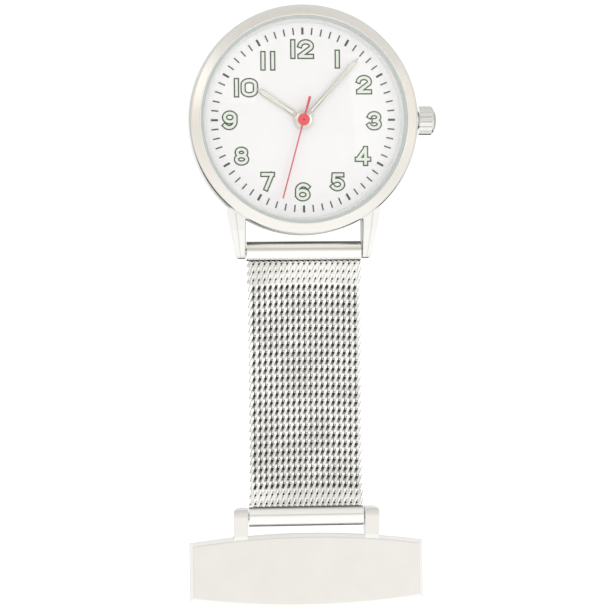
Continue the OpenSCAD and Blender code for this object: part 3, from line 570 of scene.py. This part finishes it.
def lume_finish():
    """Pale greenish luminous paint, a little grainy."""
    p = Paint("hand_lume", (0.9, 0.94, 0.84), 0.6)
    grain = p.noise(12.0, 3.0)
    p.vary(grain, 0.6, 0.08)
    p.raise_by(grain, 0.006)
    p.set("Base Color", p.mix(grain, (0.88, 0.91, 0.82), (0.96, 0.98, 0.92)))
    return p.done()


def board_finish():
    """Green circuit board with faint copper runs."""
    p = Paint("board_green", (0.03, 0.16, 0.07), 0.35)
    run = p.maths("SINE", (p.x + p.y * 0.6) * 7).step(0.55, 0.75)
    weave = p.noise(16.0, 2.0)
    p.vary(weave, 0.35, 0.08)
    p.raise_by(run, 0.01)
    p.set("Base Color", p.mix(run * 0.8, (0.025, 0.14, 0.06), (0.12, 0.3, 0.1)))
    return p.done()


def coil_finish():
    """Fine copper windings along the coil's length, with painted shade in the grooves between turns."""
    p = Paint("coil_copper", (0.72, 0.3, 0.12), 0.35, 1.0)
    turns = p.maths("SINE", p.x * 60) * 0.5 + 0.5
    p.vary(turns, 0.35, 0.08)
    p.raise_by(turns, 0.02)
    # painted shade: the copper is darker in the grooves between the turns
    p.set("Base Color", p.mix(turns, (0.45, 0.16, 0.06), (0.8, 0.36, 0.15)))
    return p.done()


def plate_finish():
    """Pale warm grey brushed face for the brooch, with a painted highlight on its bevel."""
    p = Paint("brooch_chrome", (0.9, 0.89, 0.865), 0.26, 1.0)
    lines = p.long_brushing(p.y, p.x, 16)
    cloud = p.noise(0.25, 2.0)
    face = p.z.step(plate_z - 0.15, plate_z - 0.01)
    grey = p.mix(cloud, (0.79, 0.775, 0.745), (0.85, 0.835, 0.81))
    # painted highlight: below the flat face the bevel and sides are painted near white and made less metallic, for
    # the light they catch
    p.set("Base Color", p.mix(face, (0.95, 0.95, 0.94), grey))
    p.set("Roughness", 0.3 + lines * face * 0.08)
    p.set("Metallic", 0.3 + 0.7 * face)
    p.raise_by(lines * face, 0.002)
    return p.done(0.12)


def tube_finish(name, node, top, low, warm):
    """Polished tube with painted reflections: a painted dark band from top up and a thin painted dark line past
    low, as shares of its radius.

    warm, from 0 to 1, is how warm the painted reflection on its upper half is, and how metallic that half stays.
    """
    p = Paint(name, (0.95, 0.95, 0.94), 0.1, 1.0)
    a, b = bench_box(node)
    up = (p.y - (a.y + b.y) / 2) / ((b.y - a.y) / 2)
    smear = p.noise(0.5, 2.0)
    p.vary(smear, 0.1, 0.04)
    # painted reflections: a warm upper half, a grey line above the middle and a near-black band at the top, all
    # set by height on the tube
    tone = p.mix(up.step(-0.25, 0.1) * warm, (0.95, 0.945, 0.935), (0.86, 0.845, 0.79))
    tone = p.mix(up.band(0.22, 0.03, 0.07) * 0.4, tone, (0.42, 0.41, 0.38))
    dark = up.step(top - 0.2, top + 0.1)
    tone = p.mix(dark * 0.92, tone, (0.10, 0.09, 0.07))
    # the painted dark band and the upper half are made less metallic, to hold the painted reflection
    p.set("Metallic", (1 - dark * 0.7) * (1 - up.step(-0.2, 0.1) * (0.75 - warm)))
    # painted shade: a thin dark line along the bottom of the tube
    p.set("Base Color", p.mix((0 - up).step(low - 0.03, low), tone, (0.05, 0.05, 0.045)))
    p.raise_by(p.long_brushing(p.y, p.x, 10), 0.0006)
    return p.done(0.03)


paints = {
    "case_steel": case_finish(),
    "crystal_glass": glass_finish(),
    "clear_gasket": moulded("clear_gasket", (0.56, 0.61, 0.60), 0.3, 0.03, 1.0),
    "ring_grey": moulded("ring_grey", (0.86, 0.875, 0.87), 0.4, 0.02),
    "dial_white": dial_finish(),
    "holder_plastic": moulded("holder_plastic", (0.82, 0.82, 0.78), 0.5),
    "movement_plate": metal("movement_plate", (0.80, 0.70, 0.42), 0.32, "round", spots=0.04),
    "blued_screw": metal("blued_screw", (0.10, 0.14, 0.34), 0.22, scale=3),
    "cell_steel": metal("cell_steel", (0.72, 0.72, 0.71), 0.2, "along_x"),
    "contact_gold": metal("contact_gold", (0.85, 0.64, 0.27), 0.25, "along_x"),
    "board_green": board_finish(),
    "coil_copper": coil_finish(),
    "soft_iron": metal("soft_iron", (0.42, 0.42, 0.43), 0.4, "along_x", spots=0.05),
    "magnet_dark": metal("magnet_dark", (0.16, 0.16, 0.18), 0.38, spots=0.05),
    "wheel_brass": metal("wheel_brass", (0.83, 0.62, 0.27), 0.24, "round", spots=0.04),
    "polished_steel": metal("polished_steel", (0.86, 0.86, 0.85), 0.14, "along_x", edge=0.03),
    "black_rubber": moulded("black_rubber", (0.02, 0.02, 0.022), 0.6, 0.05),
    "hand_lume": lume_finish(),
    "hand_red": print_finish("hand_red", (0.88, 0.09, 0.11), (0.78, 0.07, 0.09), 0.4),
    "back_steel": metal("back_steel", (0.78, 0.78, 0.77), 0.24, "along_x", depth=0.003),
    "bar_steel": metal("bar_steel", (0.80, 0.80, 0.79), 0.2, "along_x"),
    "mesh_steel": mesh_finish(),
    "brooch_chrome": plate_finish(),
    "pin_steel": metal("pin_steel", (0.84, 0.84, 0.85), 0.15, "along_x"),
}
core_shade_paint = core_finish()
frame_paint = metal("hand_frame", (0.72, 0.70, 0.635), 0.26, scale=4, edge=0)
print_dark = print_finish("dial_print", (0.028, 0.04, 0.032), (0.04, 0.055, 0.045))
track_paint = print_finish("track_print", (0.035, 0.035, 0.04), (0.05, 0.05, 0.055))
numeral_paint = print_finish("numeral_lume", (0.84, 0.91, 0.82), (0.77, 0.86, 0.75), 0.6)
rose_paint = print_finish("rose_shaft", (0.70, 0.09, 0.12), (0.60, 0.07, 0.10), 0.4)

for part in frame["record"]["subparts"]:
    node = nodes[part["node"]]
    node.data.materials.clear()
    node.data.materials.append(paints[part["material_slot"]])
    node.data.shade_smooth()
    node.data.set_sharp_from_angle(angle=math.radians(28))
case_tube_paint = tube_finish("case_tube_steel", "case_end_tube", top=0.8, low=0.93, warm=0.7)
brooch_tube_paint = tube_finish("brooch_tube_steel", "brooch_end_tube", top=0.9, low=0.88, warm=0.15)
nodes["case_end_tube"].data.materials[0] = case_tube_paint
nodes["brooch_end_tube"].data.materials[0] = brooch_tube_paint

# ---- crystal ----
# it stands clear of its gasket and its seat by a hair, so that no two faces share a place
low, high = bench_box("crystal")
hair, edge = 0.02, 0.15
crystal_r = high.x - hair
glass = Shape()
glass_profile = [
    (0, low.z + hair),
    (crystal_r, low.z + hair),
    (crystal_r, high.z - edge),
    (crystal_r - 0.04, high.z - 0.05),
    (crystal_r - edge, high.z),
    (0, high.z),
]
glass.ring(glass_profile, 128, False)
glass.piece("watch_crystal", paints["crystal_glass"], "case", "crystal_glass", ("crystal",))

# ---- dial print ----
dial_top = bench_box("dial")[1].z
# how thick the dark print and the pale fill lie on the dial
print_h, fill_h = 0.014, 0.03
# the width of a numeral's stroke, and of the dark edge down each side of it
stroke, edge_w = 0.78, 0.19
# each digit's strokes in a box of 1 by 1, as (points, whether the last joins the first)
STROKES = {
    "0": [(arc(0.5, 0.72, 0.5, 0.28, 0, 180) + arc(0.5, 0.28, 0.5, 0.28, 180, 360), True)],
    "1": [([(0.5, 0), (0.5, 1)], False)],
    "2": [(arc(0.5, 0.71, 0.5, 0.29, 172, -24) + [(0.1, 0.09)], False), ([(0, 0), (1, 0)], False)],
    "3": [
        (arc(0.46, 0.75, 0.48, 0.25, 165, -88), False),
        (arc(0.46, 0.255, 0.53, 0.255, 90, -165), False),
    ],
    "4": [
        ([(0.68, 0.93), (0.1, 0.33)], False),
        ([(0, 0.28), (1.02, 0.28)], False),
        ([(0.74, 1), (0.74, 0)], False),
    ],
    "5": [([(0.93, 1), (0.13, 1), (0.08, 0.6)], False), (arc(0.46, 0.31, 0.54, 0.31, 128, -152), False)],
    "6": [
        (arc(0.5, 0.3, 0.5, 0.3, 0, 360, 24)[:-1], True),
        (arc(0.56, 0.58, 0.56, 0.42, 42, 180) + [(0, 0.3)], False),
    ],
    "7": [([(0, 1), (1, 1)], False), ([(0.95, 0.98), (0.34, 0)], False)],
    "8": [
        (arc(0.5, 0.765, 0.42, 0.235, 0, 360, 24)[:-1], True),
        (arc(0.5, 0.265, 0.5, 0.265, 0, 360, 24)[:-1], True),
    ],
    "9": [
        (arc(0.5, 0.7, 0.5, 0.3, 0, 360, 24)[:-1], True),
        (arc(0.44, 0.42, 0.56, 0.42, 222, 360) + [(1, 0.7)], False),
    ],
}
# each digit with the box its outer edge fills: left, right, bottom, top
DIGITS = [
    ("1", -1.81, -0.99, 8.74, 11.6),
    ("2", -0.76, 1.67, 8.74, 11.6),
    ("1", 4.6, 5.4, 7.36, 10.1),
    ("2", 7.65, 10.0, 3.64, 6.47),
    ("3", 9.2, 11.4, -1.55, 1.27),
    ("4", 7.36, 9.76, -6.66, -3.74),
    ("5", 3.8, 5.98, -10.28, -7.51),
    ("6", -1.32, 0.98, -11.7, -8.92),
    ("7", -6.27, -4.13, -10.2, -7.39),
    ("8", -10.04, -7.81, -6.53, -3.77),
    ("9", -11.7, -9.42, -1.44, 1.41),
    ("1", -9.98, -9.13, 3.24, 6.05),
    ("0", -8.99, -6.44, 3.24, 6.05),
    ("1", -6.14, -5.29, 7.08, 9.91),
    ("1", -4.70, -3.93, 7.08, 9.91),
]


def numerals(width, thick):
    """All the numerals in strokes of that width, each stroke's top a hair above the one before."""
    shape = Shape()
    half = stroke / 2
    for digit, x0, x1, y0, y1 in DIGITS:
        left, right, low, high = x0 + half, x1 - half, y0 + half, y1 - half
        for k, (path, closed) in enumerate(STROKES[digit]):
            pts = [(left + u * (right - left), low + v * (high - low)) for u, v in path]
            shape.ribbon(pts, width, dial_top, dial_top + thick + 0.002 * k, closed, width / 2)
    return shape


numerals(stroke, print_h).piece("numeral_edges", print_dark, "case", "dial_white")
numerals(stroke - 2 * edge_w, fill_h).piece("numeral_fill", numeral_paint, "case", "hand_lume")

track_in, track_out = 12.25, 13.27
track = Shape()
for k in range(60):
    side = (0.32 if k % 5 == 0 else 0.2) / 2
    corners = [(-side, track_in), (side, track_in), (side, track_out), (-side, track_out)]
    tick = Shape().slab(corners, dial_top, dial_top + print_h)
    tick.turn(6 * k)
    start = len(track.verts)
    track.verts += tick.verts
    track.faces += [tuple(start + i for i in f) for f in tick.faces]
track.piece("minute_track", track_paint, "case", "dial_white", smooth=False)


# ---- hands ----
def mirrored(right):
    """An outline from the points up its right side."""
    return right + [(-x, y) for x, y in reversed(right)]


def hand_outline(reach, width, tip_l, neck, root, start):
    """A hand's outline: a neck from start that widens at root, straight sides, and a tip tip_l long."""
    neck_side = [(neck / 2, start), (neck / 2, root - 0.35)]
    return mirrored(neck_side + [(width / 2, root), (width / 2, reach - tip_l), (0.012, reach)])


def dial_hand(name, body, clockwise, z0, z1, reach, width, tip_l, hub_r, bore_r, root):
    """A hand with a bevelled metal frame, a lume strip let into it and a hub ring."""
    mid = z1 - 0.035
    blade = Shape().slab(hand_outline(reach, width, tip_l, width * 0.72, root, hub_r - 0.12), z0, mid, 0.03)
    blade.turn(clockwise)
    hub_low = [(bore_r, z0), (hub_r - 0.05, z0), (hub_r, z0 + 0.04)]
    hub_high = [(hub_r, mid - 0.03), (hub_r - 0.05, mid), (bore_r, mid)]
    blade.ring(hub_low + hub_high)
    strip_w = width - 0.2
    strip = hand_outline(reach - 0.35, strip_w, tip_l - 0.1, strip_w, root + 0.35, root + 0.05)
    lume = Shape().slab(strip, z0 + 0.02, z1, 0.03)
    lume.turn(clockwise)
    blade.piece(name, frame_paint, body, "polished_steel", (name,))
    lume.piece(name + "_lume", paints["hand_lume"], body, "hand_lume")


def levels(node):
    """How low and how high a node is on the bench."""
    low, high = bench_box(node)
    return low.z, high.z


dial_hand("hour_hand", "hours", 304, *levels("hour_hand"),
    reach=8.15, width=0.7, tip_l=0.9, hub_r=1.3, bore_r=0.72, root=1.7)
dial_hand("minute_hand", "minutes", 42, *levels("minute_hand"),
    reach=11.9, width=0.57, tip_l=1.0, hub_r=1.2, bore_r=0.42, root=1.6)

# the second hand: a thin rod with a wider tail, a domed hub, and the end of its arbor in the middle
low, top = levels("second_hand")
rod = [(0.1, 11.7), (0.1, 0.6), (0.11, 0.0), (0.13, -1.2), (0.2, -3.45)]
second = Shape().slab(mirrored(rod), low + 0.01, low + 0.09, 0.015)
second.turn(195.4)
second.piece("second_hand", rose_paint, "seconds", "hand_red", ("second_hand",))
hub_side = [(0, low), (0.76, low), (0.84, low + 0.03), (0.87, low + 0.1)]
hub_dome = [(0.84, top - 0.035), (0.7, top - 0.004), (0.4, top - 0.002), (0, top - 0.002)]
hub = Shape().ring(hub_side + hub_dome, 48, False)
hub.piece("second_hub", paints["hand_red"], "seconds", "hand_red")
pivot_r, pivot_low, pivot_top = 0.13, top - 0.02, top + 0.01
pivot_side = [(0, pivot_low), (pivot_r, pivot_low), (pivot_r, pivot_top), (0, pivot_top)]
pivot = Shape().ring(pivot_side, 24, False)
pivot.piece("second_pivot", print_dark, "seconds", "polished_steel", smooth=False)


# ---- woven mesh ----
def arch(x, y):
    """How far a row stands above its ends in the middle, easing off next to the tubes."""
    ends = min((mesh_top - y) / ease_top, (y - mesh_low) / ease_low, 1.0)
    return bow * max(0.0, ends) * (1 - (x / (mesh_w / 2)) ** 2)


def tightness(y):
    """1 for the last rows before each tube, which are pressed closer, and 0 for the rest."""
    return min(1, max((y - mesh_top + pressed_top) / 0.5, (mesh_low + pressed_low - y) / 0.5, 0))


def square_cos(a):
    """A cosine with fuller shoulders, so that a loop stays near the face until its end."""
    c = math.cos(a)
    return math.copysign(abs(c) ** 0.65, c) if abs(c) > 1e-6 else 0.0


def coil(y, steps=6):
    """The path of one row's wire: up the front, over, down the back and under, once a column."""
    leg = open_leg + 0.1 * tightness(y)
    x_first = -col_pitch * (columns - 1) / 2
    loop_w = col_pitch / 2 - 2 * lean * leg
    pts = [(x_first - lean * leg, -leg, loop_z)]
    for k in range(columns):
        x_leg = x_first + k * col_pitch + lean * leg
        for i in range(steps + 1):
            a = math.pi * i / steps
            if k < columns - 1 or i < 2:
                pts.append((x_leg + loop_w * i / steps, leg + loop_b * math.sin(a), loop_z * square_cos(a)))
        if k == columns - 1:
            break
        x_leg += col_pitch / 2
        for i in range(steps + 1):
            a = math.pi * i / steps
            pts.append((x_leg + loop_w * i / steps, -leg - loop_b * math.sin(a), -loop_z * square_cos(a)))
    # the middle of a wire stays this far from the tubes' edges
    clear = 0.12
    first = bench_box("brooch_end_tube")[1].y + clear
    last = bench_box("case_end_tube")[0].y - clear
    return [(x, min(max(y + dy + arch(x, y), first), last), mesh_mid_z + z) for x, dy, z in pts]


def cross_wire(y):
    """The path of the wire that a row loops round. It climbs by a hair, as wire() can't follow x exactly."""
    half = mesh_w / 2 - 0.05
    xs = [-half + 2 * half * k / 12 for k in range(13)]
    return [(x, y + arch(x, y) + 1e-5 * k, mesh_mid_z + 1e-6 * k) for k, x in enumerate(xs)]


row_ys = [mesh_low + (k + 0.5) * row_pitch for k in range(rows)]
# one piece of weave for each hinge of the band, from the middle of one section to the middle of the next,
# and on to the tube for the first and the last
for j in range(1, sections):
    low = mesh_low + (j - 0.5) * section if j > 1 else mesh_low - 1
    high = mesh_low + (j + 0.5) * section if j < sections - 1 else mesh_top + 1
    weave, cores = Shape(), Shape()
    for y in row_ys:
        if low <= y - 0.001 < high:
            weave.wire(coil(y), wire_r, wide=1.36 + 0.56 * tightness(y))
            cores.wire(cross_wire(y), 0.17 + 0.07 * tightness(y))
    start = worn(0, mesh_low + (j - 0.5) * section, mesh_mid_z)
    end = worn(0, mesh_low + (j + 0.5) * section, mesh_mid_z)
    hidden = ("mesh_1", "mesh_2") if j == 1 else (f"mesh_{j + 1}",)
    woven = weave.piece(f"woven_mesh_{j}", paints["mesh_steel"], None, "mesh_steel", hidden)
    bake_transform(woven)
    core = cores.piece(f"core_wires_{j}", core_shade_paint, None, "mesh_steel")
    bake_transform(core)

# ---- spring bars ----
# a bar's coil spring is two halves that meet in the middle
for end in ("case", "brooch"):
    low, high = bench_box(end + "_bar_spring")
    middle = (low + high) / 2
    wire, turns, per_turn = 0.11, 12, 16
    loop = (high.y - low.y) / 2 - wire
    for side, sign in (("left", -1), ("right", 1)):
        path = []
        for k in range(turns * per_turn + 1):
            a = 2 * math.pi * k / per_turn
            x = sign * (high.x - wire) * k / (turns * per_turn)
            path.append((x, middle.y + loop * math.cos(a), middle.z + loop * math.sin(a)))
        stands_for = (end + "_bar_spring",) if side == "left" else ()
        name = f"{end}_spring_{side}"
        coiled = Shape().wire(path, wire, 6)
        spring = coiled.piece(name, paints["polished_steel"], end, "polished_steel", stands_for)
        joint = f"{end}_tip_{side}_press"
        pressed_in = joints[joint]["range_m"][1] / MM
        worn(0, middle.y, middle.z)
        1 - pressed_in / high.x
        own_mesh(spring)

# ---- room, light and camera ----
world = bpy.data.worlds.new("studio")
bpy.context.scene.world = world
world.use_nodes = True
sky = Tree(world.node_tree)
dx, dy, dz = sky.split(sky.add("ShaderNodeTexCoord").outputs["Generated"])
# the room is white, with a warm wall low in front, a thin gap above it, darker sides, and dark patches behind
front = dy.step(0.12, -0.12)
wall = dz.step(0.06, -0.16) * front
gap = dz.band(-0.02, 0.012, 0.03) * front
behind_below = dz.step(-0.3, -0.5) * dy.step(0.12, 0.35)
behind_above = dz.step(0.18, 0.26) * dy.step(0.4, 0.55)
sides = abs(dx).step(0.45, 0.8)
tone = sky.mix(front, (1.0, 1.0, 1.0), (1.0, 0.99, 0.97))
tone = sky.mix(wall * (1 - dz.step(-0.6, -0.85) * 0.85), tone, (0.70, 0.67, 0.615))
tone = sky.mix(gap * 0.3, tone, (0.3, 0.28, 0.26))
tone = sky.mix(sides * 0.5, tone, (0.74, 0.71, 0.66))
tone = sky.mix(sides * dy.step(0.1, 0.4) * 0.8, tone, (0.3, 0.29, 0.28))
tone = sky.mix(behind_below * 0.95, tone, (0.10, 0.09, 0.075))
tone = sky.mix(behind_above, tone, (0.03, 0.03, 0.03))
sky.feed(sky.nodes["Background"].inputs["Color"], tone)
sky.feed(sky.nodes["Background"].inputs["Strength"], 1.1)


def soft_light(name, at, aim, size, watts):
    """A square lamp that faces aim."""
    lamp = bpy.data.lights.new(name, "AREA")
    lamp.shape, lamp.size, lamp.energy = "SQUARE", size, watts
    o = bpy.data.objects.new(name, lamp)
    bpy.context.scene.collection.objects.link(o)
    o.location = at
    o.rotation_euler = (Vector(aim) - Vector(at)).to_track_quat("-Z", "Y").to_euler()


middle = worn(0, -26, 4)
soft_light("key", worn(-220, 260, 420), middle, 0.4, 0.42)
soft_light("fill", worn(260, 60, 380), middle, 0.25, 0.2)

bm = bmesh.new()
bmesh.ops.create_grid(bm, x_segments=1, y_segments=1, size=0.55)
floor_mesh = bpy.data.meshes.new("floor")
bm.to_mesh(floor_mesh)
bm.free()
floor_mesh.materials.append(moulded("floor_paint", (0.9, 0.9, 0.9), 0.7, 0.005, 0.02))
floor = bpy.data.objects.new("floor", floor_mesh)
bpy.context.scene.collection.objects.link(floor)
floor.location = (0, 0, -0.32)

# the camera looks at the dial from a little to one side, and takes in this width at that distance, in metres
distance, seen_w = 0.36, 0.0874
sideways, roll = math.radians(5.5), -0.0098
lens = bpy.data.cameras.new("camera")
lens.sensor_width = 36
lens.lens = lens.sensor_width * distance / seen_w
lens.clip_start, lens.clip_end = 0.01, 20
camera = bpy.data.objects.new("camera", lens)
bpy.context.scene.collection.objects.link(camera)
aim = worn(-0.08, -26.4, 3.8)
back = Vector((math.sin(sideways), -math.cos(sideways), 0))
up = (Vector((0, 0, -1)) + Vector((roll, 0, 0))).normalized()
right = up.cross(back).normalized()
turn = Matrix((right, back.cross(right), back)).transposed()
camera.matrix_world = Matrix.Translation(aim + back * distance) @ turn.to_4x4()
bpy.context.scene.camera = camera
bpy.context.scene.view_settings.view_transform = "Standard"
